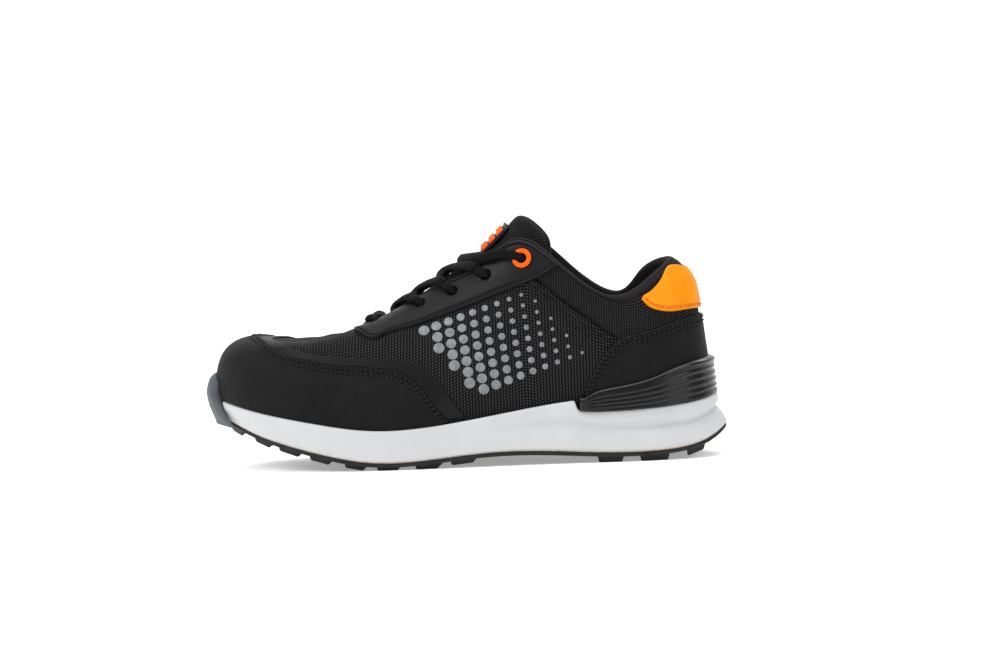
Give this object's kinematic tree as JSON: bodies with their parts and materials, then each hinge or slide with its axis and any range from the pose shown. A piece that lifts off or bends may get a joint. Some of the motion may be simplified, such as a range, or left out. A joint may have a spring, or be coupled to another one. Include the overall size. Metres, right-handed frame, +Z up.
{
  "type": "safety shoe",
  "caption": "Low left safety shoe of the trainer kind: black mesh upper with nubuck toe guard, padded collar, flat laces, white foam midsole and dark lugged rubber outsole.",
  "frame": {"origin": "middle of the shoe's box on the floor it stands on", "axes": "toe towards -X, heel towards +X, lateral side towards -Y, medial side towards +Y, +Z up"},
  "size_m": [0.3012, 0.1081, 0.141],
  "materials": {
    "rubber": "matt dark grey rubber",
    "foam": "white foam with a fine pebble grain",
    "clip": "ribbed satin black",
    "mesh": "black open mesh",
    "guard": "black nubuck",
    "trim": "smooth dark grey",
    "tab": "orange, fine grain",
    "lining": "soft black knit",
    "ring": "smooth orange",
    "lace": "black braid"
  },
  "bodies": {
    "root": {"outsole": "rubber", "midsole": "foam", "heel_clip": "clip", "upper": "mesh", "toe_guard": "guard", "toe_trim": "trim", "heel_counter": "guard", "heel_tab": "tab", "eyestay": "guard", "quarter_seam_lateral": "mesh", "quarter_seam_medial": "mesh", "tongue": "lining", "tongue_label": "rubber", "insole": "lining", "eyelet_lateral": "ring", "eyelet_medial": "ring", "lace_bar": "lace", "lace_cross_1": "lace", "lace_cross_2": "lace", "lace_cross_3": "lace", "lace_top": "lace"}
  },
  "joints": []
}
